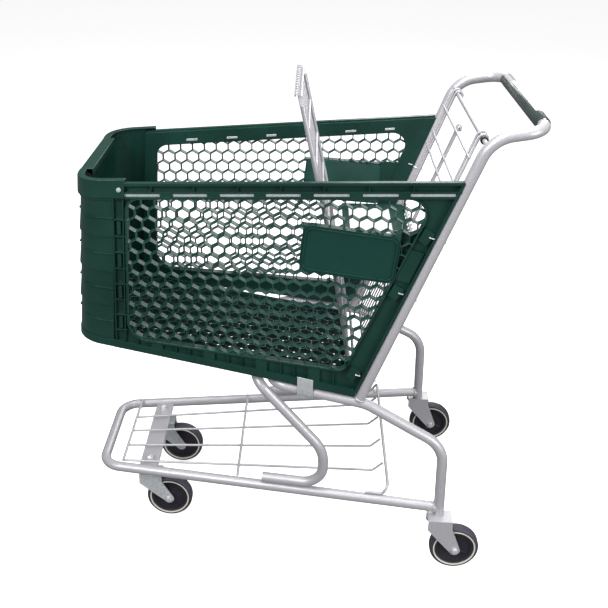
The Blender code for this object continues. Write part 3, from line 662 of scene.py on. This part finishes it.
def border(bag, place):
    """Frame round one window: rim, ladder, bottom pockets and rear pads."""
    ring_plate(bag, PANEL, WINDOW, BACK, PANEL_FAR, place)
    bead = rounded_loop([(-0.2815, rim_z(-0.2815) - 0.0360), (0.3540, rim_z(0.354) - 0.0360),
                         (0.3700, 0.5512), (-0.1100, 0.5040)], (0.038, 0.033, 0.048, 0.025), 8)
    ring_plate(bag, bead, WINDOW, -0.0010, BACK - 0.001, place)
    rear = -0.3225
    strip(bag, place, rear - 0.004, TOP_FRONT, lip_z, 0.0, -0.0062, 0.0010, BACK - 0.001)
    strip(bag, place, rear, TOP_FRONT, lip_z, -0.0190, -0.0232, -0.0002, BACK - 0.001)
    strip(bag, place, rear + 0.006, TOP_FRONT, lip_z, -0.0304, -0.0345, -0.0002, BACK - 0.001)
    for x in RIB_X:
        prism(bag, [(x - 0.0011, lip_z(x) - 0.004), (x + 0.0011, lip_z(x) - 0.004),
                    (x + 0.0011, lip_z(x) - 0.021), (x - 0.0011, lip_z(x) - 0.021)],
              -0.0008, BACK - 0.001, place)
    for (_, start), (stop, _) in zip(SLOTS, SLOTS[1:]):
        strip(bag, place, stop, start, lip_z, -0.0215, -0.0320, -0.0004, BACK - 0.001)
    # lips along the rear and bottom edges
    prism(bag, [PANEL[0], (PANEL[0][0] + 0.0050, 0.948), (-0.1320, 0.4462), PANEL[3]],
          0.0004, BACK - 0.001, place)
    strip(bag, place, -0.137, LOW_FRONT, bottom_z, 0.0175, 0.0, 0.0006, BACK - 0.001)
    # ladder ahead of the window
    for offset, width in ((0.0035, 0.0026), (0.0245, 0.0026)):
        prism(bag, [(0.3530 + offset, 0.885), (0.3530 + offset + width, 0.885),
                    (0.3690 + offset + width, 0.548), (0.3690 + offset, 0.548)],
              -0.0008, BACK - 0.001, place)
    for k in range(8):
        z = 0.8355 - 0.0373 * k
        x = 0.3535 + (0.885 - z) * 0.0475
        prism(bag, [(x, z + 0.0011), (x + 0.0285, z + 0.0011), (x + 0.0285, z - 0.0011),
                    (x, z - 0.0011)], -0.0008, BACK - 0.001, place)
        if k % 2 == 0 and k < 7:
            mid = z - 0.0187
            prism(bag, [(x + 0.0105, mid + 0.0147), (x + 0.0180, mid + 0.0147),
                        (x + 0.0188, mid - 0.0147), (x + 0.0113, mid - 0.0147)],
                  -0.0022, BACK - 0.001, place)
    # pockets, ribs and solid blocks of the bottom flange
    for block in range(-1, 4):
        x = 0.3025 - 0.1165 * block
        if -0.125 < x < 0.37:
            head = x + 0.0125
            tail = x - 0.0125
            prism(bag, [(head, bottom_z(head) + 0.008), (tail, bottom_z(x) + 0.006),
                        (tail, window_floor(tail)), (head, window_floor(head))],
                  -0.0006, BACK - 0.001, place)
        for shift in (-0.0430, -0.0730, 0.0430):
            rib = x + shift
            if -0.120 < rib < 0.385:
                low = bottom_z(rib) + 0.008
                high = window_floor(rib)
                prism(bag, [(rib - 0.0010, low), (rib + 0.0010, low), (rib + 0.0010, high),
                            (rib - 0.0010, high)], -0.0008, BACK - 0.001, place)
    # pads round the three wire clips, and the plain pad between them
    for x, z in CLIP_TIPS:
        prism(bag, [(x + 0.0149, z + 0.0210), (x - 0.0050, z + 0.0086), (x + 0.0110, z - 0.0172),
                    (x + 0.0268, z - 0.0044)], 0.0002, BACK - 0.001, place)
    low = 0.7320
    high = 0.8000
    prism(bag, [(rear_edge_x(high) + 0.0075, high - 0.004),
                (rear_edge_x(high) + 0.0375, high + 0.003),
                (rear_edge_x(low) + 0.0375, low + 0.003),
                (rear_edge_x(low) + 0.0075, low - 0.004)], -0.0034, BACK - 0.001, place)
    # thin wall that closes the gap between the sign plate and the rear flange
    prism(bag, [(-0.200, 0.838), (-0.250, 0.836), (-0.214, 0.745), (-0.200, 0.745)],
          -0.0145, -0.0185, place)


def window_floor(x):
    """Height of the bead under the window."""
    return 0.5040 + 0.0985 * (x + 0.110) - 0.0010


def side_panels():
    """Web, border, rim insert and blank sign plate on both sides."""
    cells = hex_cells()
    for name, side in SIDES:
        place = wall_place(side)
        mesh = Bag()
        web(mesh, WINDOW, cells, WEB_NEAR, WEB_FAR, place, 0.0012, 0.0005, 0.000012)
        piece("mesh_window_" + name, mesh, MESH_GREEN_PAINTED_LIGHT, merge=True, sharp=30.0)
        edge = Bag()
        border(edge, place)
        piece("panel_border_" + name, edge, GREEN, replaces=("side_panel_" + name,), bevel=0.0005)
        metal = Bag()
        strip(metal, place, -0.3120, 0.3560, lip_z, -0.0236, -0.0300, -0.0030, BACK - 0.0005)
        for (_, start), (stop, _) in zip(SLOTS, SLOTS[1:]):
            strip(metal, place, stop - 0.003, start - 0.003, lip_z, -0.0225, -0.0275,
                  PANEL_FAR + 0.001, PANEL_FAR - 0.0010)
        piece("rim_insert_" + name, metal, ZINC, replaces=("rim_strip_" + name,), bevel=0.0004)
        plate = Bag()
        prism(plate, sign_loop(0.0, 0.018), 0.0014, WEB_FAR + 0.002, place)
        ring_plate(plate, sign_loop(0.0048, 0.0145), sign_loop(0.0080, 0.0115), 0.0042, 0.0010,
                   place)
        ring_plate(plate, sign_loop(0.0, 0.018), sign_loop(0.0018, 0.0165), 0.0026, 0.0010, place)
        piece("blank_sign_" + name, plate, SIGN_GREEN, replaces=("sign_plate_" + name,),
              bevel=0.0005)


CLIP_R = 0.0013


def wire_clips():
    """Wires that hold the rear flanges: a tip outside, a loop inside, a bend round the tube."""
    for name, side in SIDES:
        place = wall_place(side)
        ahead = Vector((1.0, 0.0, 0.367)).normalized()
        inner = Vector((0.0, -side, 0.0))
        for k, (x, z) in enumerate(CLIP_TIPS):
            bag = Bag()
            for face, out in ((0.0002, 1.0), (PANEL_FAR, -1.0)):
                loop = [Vector(place(x + 0.0055, z + 0.0025, face - 0.0030 * out)),
                        Vector(place(x + 0.0055, z + 0.0025, face + 0.0018 * out)),
                        Vector(place(x - 0.0035, z, face + 0.0018 * out)),
                        Vector(place(x - 0.0035, z, face - 0.0030 * out))]
                tube(bag, rounded(loop, [0.0012, 0.0012], 4), CLIP_R, 10)
            height = CLIP_Z[k]
            centre = Vector((upright_x(height), side * upright_y(height), height))
            bend = []
            for step in range(13):
                a = math.radians(-20 + 165 * step / 12)
                spoke = inner * math.sin(a) - ahead * math.cos(a)
                bend.append(centre + spoke * (TUBE_R + CLIP_R))
            bend.append(Vector(place(rear_edge_x(z) + 0.004, z - 0.004, -0.0150)))
            tube(bag, bend, CLIP_R, 10)
            piece("wire_hook_{}_{}".format(name, k + 1), bag, ZINC,
                  replaces=("wire_clip_{}_{}".format(name, k + 1),), sharp=50.0)


side_panels()
wire_clips()

# ---------------------------------------------------------------- nose, floor and rim caps
NOSE_R = 0.060
NOSE_TOP = 0.918
NOSE_LOW = 0.538
NOSE_THICK = 0.0075
NOSE_SET = 0.0030       # the stepped face lies this far inside the bottom lip
STEP = 0.0780           # height of one full step
LEDGE = 0.0050          # reach of the short ledges halfway down each step


def nose_plan(z, outward):
    """Plan path round the nose, left to right, with each point's outward direction."""
    front = nose_x(z) + outward
    start = front_edge_x(z)
    corner = (front, wall_y(nose_x(z)) + outward, z)
    line = rounded([(start, wall_y(start) + outward, z), corner, (front, 0.0, z)],
                   [NOSE_R + outward], 14)
    side_run = [line[0].lerp(line[1], k / 5) for k in range(5)]
    front_run = [line[-2].lerp(line[-1], k / 6) for k in range(1, 6)]
    left = [(p.x, p.y) for p in side_run + line[1:-1] + front_run]
    return left + [(nose_x(z) + outward, 0.0)] + [(x, -y) for x, y in reversed(left)]


def nose_rows():
    """(height share from the top, outward offset, ledge share) down the stepped face."""
    rows = [(0.0, 0.0, 0.0)]
    height = 0.372
    level = 0.0400
    while level < height - 0.022:
        rows.append((level - 0.0006, 0.0030, 0.0))
        rows.append((level + 0.0006, 0.0, 0.0))
        ledge = level + STEP * 0.5
        if ledge < height - 0.022:
            rows.append((ledge - 0.0028, 0.0006, 0.0))
            rows.append((ledge - 0.0024, 0.0008, 1.0))
            rows.append((ledge, 0.0008, 0.15))
        level += STEP
    rows.append((height - 0.0195, 0.0014, 0.0))
    rows.append((height - 0.0185, 0.0000, 0.0))
    rows.append((height - 0.0165, 0.0000, 0.0))
    rows.append((height - 0.0155, NOSE_SET, 0.0))
    rows.append((height, NOSE_SET, 0.0))
    return [(drop / height, out, ledge) for drop, out, ledge in rows]


def nose():
    """Stepped shell with rounded corners."""
    rows = nose_rows()
    sections = []
    top_plan = nose_plan(NOSE_TOP, -NOSE_SET)
    count = len(top_plan)
    outer = []
    for share, out, ledge in rows:
        z = NOSE_TOP + (NOSE_LOW - NOSE_TOP) * share
        inner_plan = nose_plan(z, out - NOSE_SET)
        ledge_plan = nose_plan(z, out - NOSE_SET + LEDGE)
        line = []
        for k in range(count):
            flat_side = min(k, count - 1 - k) <= 11
            flat_front = abs(k - (count - 1) / 2) <= 6
            mix = ledge * (1.0 if flat_side or flat_front else 0.0)
            x = inner_plan[k][0] * (1 - mix) + ledge_plan[k][0] * mix
            y = inner_plan[k][1] * (1 - mix) + ledge_plan[k][1] * mix
            top = rim_z(x)
            low = bottom_z(x)
            line.append((x, y, top + (low - top) * share))
        outer.append(line)
    back = []
    for share in (1.0, 0.0):
        z = NOSE_TOP + (NOSE_LOW - NOSE_TOP) * share
        line = []
        for x, y in nose_plan(z, -NOSE_THICK):
            line.append((x, y, rim_z(x) + (bottom_z(x) - rim_z(x)) * share))
        back.append(line)
    for k in range(count):
        sections.append([row[k] for row in outer] + [row[k] for row in back])
    bag = Bag()
    loft(bag, sections)
    piece("stepped_nose", bag, GREEN, replaces=("nose_panel",), sharp=24.0)


FLOOR_WALL = 0.0026
FLOOR_PITCH = 0.0270
FLOOR_INSET = 0.0205


def floor():
    """Honeycomb floor with a solid edge."""
    edge = [(-0.128, wall_y(-0.128) - FLOOR_INSET), (0.400, wall_y(0.400) - FLOOR_INSET)]
    lead = rounded([(0.400, wall_y(0.4) - FLOOR_INSET, 0), (0.4800, 0.1780, 0), (0.4800, 0, 0)],
                   [0.045], 6)
    edge += [(p.x, p.y) for p in lead[1:-1]]
    loop = edge + [(x, -y) for x, y in reversed(edge)]
    cells = []
    for row in range(-10, 11):
        for column in range(-6, 20):
            x = (column + 0.5 * (row % 2)) * FLOOR_PITCH
            y = row * FLOOR_PITCH * math.sqrt(3) / 2
            cells.append((hexagon(x, y, FLOOR_PITCH / math.sqrt(3)),
                          hexagon(x, y, (FLOOR_PITCH - FLOOR_WALL) / math.sqrt(3))))
    bag = Bag()
    web(bag, loop, cells, 0.0125, -0.0025, lambda u, v, w: (u, v, bottom_z(u) + w), 0.007,
        0.0005, 0.00003)
    piece("honeycomb_floor", bag, GREEN, replaces=("basket_floor",), merge=True, sharp=30.0)


nose()
floor()

# ---------------------------------------------------------------- chassis tubes
LEG_LINE = rounded(mirrored([
    Vector((LEG_X, LEG_Y, 0.1410)),
    Vector((-0.341, LEG_Y, 0.3295)),
    Vector((-0.165, support_y(-0.165), support_z(-0.165))),
    Vector((0.048, support_y(0.048), support_z(0.048))),
]), [0.075, 0.100, 0.040, 0.040, 0.100, 0.075], 14)
BASE_LINE = rounded(mirrored([
    Vector((LEG_X, LEG_Y, RAIL_Z)),
    Vector((0.4685, rail_y(0.4685), RAIL_Z)),
]), [0.050, 0.050], 14)
BRACE_Z = RAIL_Z + 2 * TUBE_R + 0.0003
BRACE_LINE = rounded(mirrored([
    Vector((0.068, rail_y(0.068), BRACE_Z)),
    Vector((-0.075, rail_y(-0.075), BRACE_Z)),
    Vector((-0.075, 0.2180, 0.2844)),
    Vector((0.0830, 0.2089, 0.4645)),
]), [0.052, 0.090, 0.034, 0.034, 0.090, 0.052], 14)
HANDLE_LINE = rounded(mirrored([
    Vector((-0.1455, support_y(-0.1455), support_z(-0.1455) - 0.002)),
    Vector((upright_x(1.036), upright_y(1.036), 1.036)),
    Vector((HANDLE_X, 0.2365, HANDLE_Z)),
]), [0.070, 0.042, 0.042, 0.070], 14)

for name, line, node in (
    ("base_tube", BASE_LINE, "base_loop"),
    ("leg_tube", LEG_LINE, "leg_support_loop"),
    ("handle_tube", HANDLE_LINE, "handle_loop"),
):
    bag = Bag()
    tube(bag, line, TUBE_R, 28)
    piece(name, bag, PAINT, replaces=(node,), sharp=50.0)

bag = Bag()
half_count = len(BRACE_LINE) // 2
tube(bag, BRACE_LINE[:half_count + 1], TUBE_R, 28, bore=0.86)
tube(bag, list(reversed(BRACE_LINE))[:half_count + 1], TUBE_R, 28, bore=0.86)
piece("brace_tube", bag, PAINT, replaces=("front_brace_loop",), sharp=50.0)

bag = Bag()
rod_low, rod_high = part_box("gate_rod")
tube(bag, [(ROD.x, rod_low.y, ROD.z), (ROD.x, rod_high.y, ROD.z)], 0.0048, 16)
piece("swing_rod", bag, PAINT, replaces=("gate_rod",), sharp=50.0)


def weld(bag, spot, along, radius, thick=0.0022):
    """Small rough bead round a joint."""
    along = Vector(along).normalized()
    across = along.orthogonal().normalized()
    other = along.cross(across)
    line = []
    for k in range(33):
        a = 2 * math.pi * k / 32
        wobble = radius + 0.0004 * math.sin(9 * a)
        line.append(Vector(spot) + across * wobble * math.cos(a) + other * wobble * math.sin(a))
    tube(bag, line, thick, 8)


bag = Bag()
for _, side in SIDES:
    weld(bag, (LEG_X + 0.0125, side * (rail_y(LEG_X + 0.0125)), RAIL_Z), (1, -0.139 * side, 0),
         TUBE_R)
    weld(bag, (-0.1495, side * support_y(-0.1495), support_z(-0.1495) + 0.0105),
         (-0.367, 0, 1), TUBE_R)
piece("weld_beads", bag, PAINT, sharp=60.0)

# ---------------------------------------------------------------- lower rack
CROSS_Z = RAIL_Z + TUBE_R + 0.0003 + 0.0032
WIRE_Z = CROSS_Z - 0.0046
bag = Bag()
for x, reach in ((0.4160, 0.137), (0.1290, 0.178)):
    tube(bag, [(x, reach, CROSS_Z), (x, -reach, CROSS_Z)], 0.0032, 14)
for front, rear in ((0.130, 0.131), (0.066, 0.032), (0.004, -0.067), (-0.058, -0.160)):
    tube(bag, rounded([(0.4200, front, WIRE_Z), (-0.1980, rear + 0.001, WIRE_Z),
                       (-0.2215, rear, 0.1910)], [0.010], 6), 0.0028, 12)
piece("rack_wires", bag, PAINT, replaces=("lower_rack",), sharp=50.0)
arch_y = rail_y(-0.2240) - 0.004
arch_foot = RAIL_Z + TUBE_R + 0.0003 + 0.0035
bag = Bag()
tube(bag, rounded(mirrored([
    Vector((-0.176, rail_y(-0.176) - 0.002, arch_foot)),
    Vector((-0.2160, arch_y, arch_foot)),
    Vector((-0.2280, arch_y, 0.1955)),
]), [0.008, 0.014, 0.014, 0.008], 6), 0.0035, 14)
piece("backstop_arch", bag, PAINT, replaces=("rack_backstop",), sharp=50.0)

# ---------------------------------------------------------------- rear gate and seat back
CROSS_T = GATE_T + 0.004
WIRE_PITCH = 0.0220
CROSS_AHEAD = 0.0
UPRIGHT_AHEAD = 0.0048
HOOK = [(-GATE_T * math.sin(math.radians(a)), GATE_T * math.cos(math.radians(a)))
        for a in range(200, -1, -20)]


def rear_gate():
    """Side rods with hooks, cross bars, upright wires and a flat middle strap."""
    bag = Bag()
    for side in (1.0, -1.0):
        for top, low in ((0.1870, 0.1780), (0.1640, 0.1640)):
            line = [gate_point(s, t, side * top) for s, t in HOOK]
            line.append(gate_point(0.560, GATE_T, side * low))
            line.append(gate_point(GATE_LEN, 0.022, side * low))
            tube(bag, line, WIRE_R, 12)
    bars = ((0.0415, 0.205), (0.1040, 0.200), (0.1380, 0.196), (0.280, 0.190), (0.4250, 0.186),
            (0.5600, 0.182))
    for s, half in bars:
        tube(bag, [gate_point(s, CROSS_T, half), gate_point(s, CROSS_T, -half)], WIRE_R, 12)
    tube(bag, [gate_point(GATE_LEN, 0.022, 0.182), gate_point(GATE_LEN, 0.022, -0.182)], 0.0035, 14)
    for k in range(-6, 7):
        y = k * WIRE_PITCH
        tube(bag, [gate_point(0.276, GATE_T, y), gate_point(0.566, GATE_T, y)], 0.0019, 10)
    strap = [gate_point(s, t, 0.0) for s, t in
             ((0.040, GATE_T - 0.006), (0.033, GATE_T - 0.004), (0.031, GATE_T),
              (0.034, GATE_T + 0.0015), (0.045, GATE_T), (0.270, GATE_T))]
    tube(bag, strap, 0.0100, 18, flat=0.36)
    piece("wire_gate", bag, PAINT, body="gate", replaces=("rear_gate",), sharp=50.0)


def seat_point(share, y, ahead=0.0):
    """Point on the seat back: knee at 0, top at 1, pivot at -1."""
    if share >= 0:
        spot = SEAT_KNEE.lerp(SEAT_TOP, share)
        ahead += 0.0075 - 0.0125 * share
    else:
        spot = SEAT_KNEE.lerp(Vector((PIVOT.x + 0.0085, 0.0, PIVOT.z)), -share)
        ahead += 0.0075 * (1.0 + share)
    return Vector((spot.x + ahead, y, spot.z))


def seat_back():
    """Two side rods, cross wires on their front and upright wires on the cross wires."""
    bag = Bag()
    for side in (1.0, -1.0):
        line = []
        for k in range(13):
            a = math.radians(-200 + 200 * k / 12)
            line.append(Vector((PIVOT.x + 0.0085 * math.cos(a), side * 0.150,
                                PIVOT.z + 0.0085 * math.sin(a))))
        line.append(seat_point(0.0, side * 0.1480))
        line.append(seat_point(0.92, side * 0.1440))
        tube(bag, line, 0.0044, 16)
    for share, half in ((0.975, 0.1380), (0.72, 0.1475), (0.45, 0.1485), (0.2, 0.1500),
                        (-0.02, 0.1505), (-0.25, 0.1508), (-0.45, 0.1510), (-0.68, 0.1515),
                        (-0.90, 0.1520)):
        tube(bag, [seat_point(share, half, CROSS_AHEAD), seat_point(share, -half, CROSS_AHEAD)],
             0.0030, 12)
    for k in range(-6, 7):
        y = k * WIRE_PITCH
        top = seat_point(0.985, y, UPRIGHT_AHEAD)
        line = [seat_point(-0.93, y, UPRIGHT_AHEAD), seat_point(0.0, y, UPRIGHT_AHEAD), top,
                top + Vector((0.0022, 0.0, 0.0040)), top + Vector((0.0060, 0.0, 0.0030)),
                top + Vector((0.0070, 0.0, -0.0030))]
        tube(bag, line, 0.0021, 10)
    piece("wire_seat_back", bag, PAINT, body="seat", replaces=("seat_back",), sharp=50.0)


rear_gate()
seat_back()

# ---------------------------------------------------------------- handle grip
arc = []
inner = []
for k in range(49):
    a = math.radians(-19 + 318 * k / 48)
    arc.append((GRIP_R * math.cos(a), GRIP_R * math.sin(a)))
    inner.append((GRIP_BORE * math.cos(a), GRIP_BORE * math.sin(a)))
grip_loop = arc + inner[::-1]
bag = Bag()
sections = []
for y, grow in ((GRIP_HALF, 0.965), (GRIP_HALF - 0.001, 1.0), (-GRIP_HALF + 0.001, 1.0),
                (-GRIP_HALF, 0.965)):
    sections.append([(HANDLE_X + x * grow, y, HANDLE_Z + z * grow) for x, z in grip_loop])
loft(bag, sections)
piece("split_grip", bag, GRIP_GREEN, replaces=("handle_grip",), sharp=40.0)

# ---------------------------------------------------------------- wheels
TREAD_PROFILE = [
    (0.0440, -0.0112), (0.0465, -0.0136), (0.0500, -0.0140), (0.0530, -0.0134), (0.0552, -0.0116),
    (0.0564, -0.0096), (WHEEL_R, -0.0070), (WHEEL_R, 0.0070), (0.0564, 0.0096), (0.0552, 0.0116),
    (0.0530, 0.0134), (0.0500, 0.0140), (0.0465, 0.0136), (0.0440, 0.0112),
]
HUB_PROFILE = [
    (0.0044, -0.0165), (0.0105, -0.0165), (0.0118, -0.0158), (0.0126, -0.0075), (0.0150, -0.0060),
    (0.0350, -0.0060), (0.0372, -0.0070), (0.0385, -0.0108), (0.0437, -0.0114), (0.0437, 0.0114),
    (0.0385, 0.0108), (0.0372, 0.0070), (0.0350, 0.0060), (0.0150, 0.0060), (0.0126, 0.0075),
    (0.0118, 0.0158), (0.0105, 0.0165), (0.0044, 0.0165),
]
for name, side in SIDES:
    for row in ("front", "rear"):
        body = "{}_{}_wheel".format(row, name)
        axle = JOINT["{}_{}_spin".format(row, name)]["pos_m"]
        bag = Bag()
        lathe(bag, TREAD_PROFILE, axle, "Y", 72)
        piece("{}_{}_tread".format(row, name), bag, TREAD, body=body,
              replaces=("{}_{}_tyre".format(row, name),))
        bag = Bag()
        lathe(bag, HUB_PROFILE, axle, "Y", 60)
        for k in range(6):
            a = math.radians(60 * k + 30)
            c, s = math.cos(a), math.sin(a)
            for face in (1.0, -1.0):
                line = [(axle[0] + r * c, axle[1] + face * 0.0064, axle[2] + r * s)
                        for r in (0.012, 0.036)]
                tube(bag, line, 0.0016, 8)
        piece("{}_{}_wheel_centre".format(row, name), bag, HUB, body=body,
              replaces=("{}_{}_hub".format(row, name),))
        bag = Bag()
        for face in (1.0, -1.0):
            lathe(bag, [(0.0458, 0.0128), (0.0463, 0.0142), (0.0488, 0.0146), (0.0494, 0.0136)],
                  axle, "Y", 72, face)
        piece("{}_{}_cream_ring".format(row, name), bag, CREAM, body=body)

# ---------------------------------------------------------------- finishes of the CAD pieces
FINISH = {
    "painted_tube": PAINT, "zinc_plate": ZINC, "green_plastic": GREEN, "sign_plastic": SIGN_GREEN,
    "tread": TREAD, "wheel_hub": HUB, "label_card": LABEL, "black_nylon": NYLON,
}
SLOT_OF = {entry["node"]: entry["material_slot"] for entry in frame["record"]["subparts"]}
BODY_OF = {node: body for body, nodes in frame["record"]["behaviour"]["bodies"].items()
           for node in nodes}
for name, slot in SLOT_OF.items():
    node = frame["nodes"][name]
    node.data.materials.clear()
    node.data.materials.append(FINISH[slot])


def softened(name, new_name, width):
    """A copy of a CAD solid with rounded edges that stands for it."""
    bm = bmesh.new()
    bm.from_mesh(frame["nodes"][name].data)
    bmesh.ops.remove_doubles(bm, verts=bm.verts, dist=0.00002)
    bmesh.ops.dissolve_limit(bm, angle_limit=math.radians(1.0), verts=bm.verts, edges=bm.edges)
    bag = Bag()
    bag.verts = [tuple(v.co) for v in bm.verts]
    bag.faces = [tuple(v.index for v in f.verts) for f in bm.faces]
    bm.free()
    piece(new_name, bag, FINISH[SLOT_OF[name]], body=BODY_OF[name], replaces=(name,), bevel=width,
          sharp=35.0)


for side in ("left", "right"):
    softened("corner_cap_" + side, "rim_corner_" + side, 0.0014)
    softened("strap_clip_" + side, "bent_clip_" + side, 0.0004)
    for row in ("front", "rear"):
        softened("{}_{}_fork".format(row, side), "{}_{}_yoke_plate".format(row, side), 0.0007)
softened("front_rim_bar", "rim_bar", 0.0012)
softened("caster_plate", "swivel_plate", 0.0010)
softened("seat_flap", "seat_board", 0.0009)

# ---------------------------------------------------------------- floor, light and camera
stage_mesh = bpy.data.meshes.new("studio_floor")
stage_mesh.from_pydata([(-9, -9, 0), (9, -9, 0), (9, 9, 0), (-9, 9, 0)], [], [(0, 1, 2, 3)])
studio = bpy.data.objects.new("studio_floor", stage_mesh)
bpy.context.scene.collection.objects.link(studio)
pale, _, pale_shader, _ = nodes_of("studio_floor")
pale_shader.inputs["Base Color"].default_value = (0.90, 0.90, 0.90, 1.0)
pale_shader.inputs["Roughness"].default_value = 0.9
pale_shader.inputs["Specular IOR Level"].default_value = 0.0
pale_shader.inputs["Emission Color"].default_value = (1.0, 1.0, 1.0, 1.0)
pale_shader.inputs["Emission Strength"].default_value = 0.72
stage_mesh.materials.append(pale)
studio.visible_diffuse = False
studio.visible_glossy = False

world = bpy.data.worlds.new("studio")
world.use_nodes = True
world.node_tree.nodes["Background"].inputs["Color"].default_value = (1.0, 1.0, 1.0, 1.0)
world.node_tree.nodes["Background"].inputs["Strength"].default_value = 0.22
bpy.context.scene.world = world
bpy.context.scene.view_settings.view_transform = "Standard"


def softbox(name, spot, target, size, power):
    """Square area light that faces a point."""
    light = bpy.data.lights.new(name, "AREA")
    light.shape = "SQUARE"
    light.size = size
    light.energy = power
    lamp = bpy.data.objects.new(name, light)
    lamp.location = spot
    lamp.rotation_euler = (Vector(target) - Vector(spot)).to_track_quat("-Z", "Y").to_euler()
    bpy.context.scene.collection.objects.link(lamp)


MIDDLE = (0.0, 0.0, 0.6)
softbox("key", (1.6, 2.6, 2.9), MIDDLE, 1.5, 100.0)
softbox("top", (-0.3, 0.2, 3.2), MIDDLE, 2.0, 85.0)
softbox("fill", (-2.6, 2.2, 1.4), MIDDLE, 1.4, 60.0)
softbox("back", (-1.0, -2.8, 2.0), MIDDLE, 1.8, 32.0)

camera_data = bpy.data.cameras.new("camera")
camera_data.sensor_width = 36.0
camera_data.lens = 53.2
camera_data.shift_x = 0.0758
camera_data.shift_y = -0.0143
camera = bpy.data.objects.new("camera", camera_data)
camera.location = (-0.028, 1.924, 1.528)
look = Vector((0.0550, -0.8941, -0.4444))
camera.rotation_euler = look.to_track_quat("-Z", "Y").to_euler()
bpy.context.scene.collection.objects.link(camera)
bpy.context.scene.camera = camera
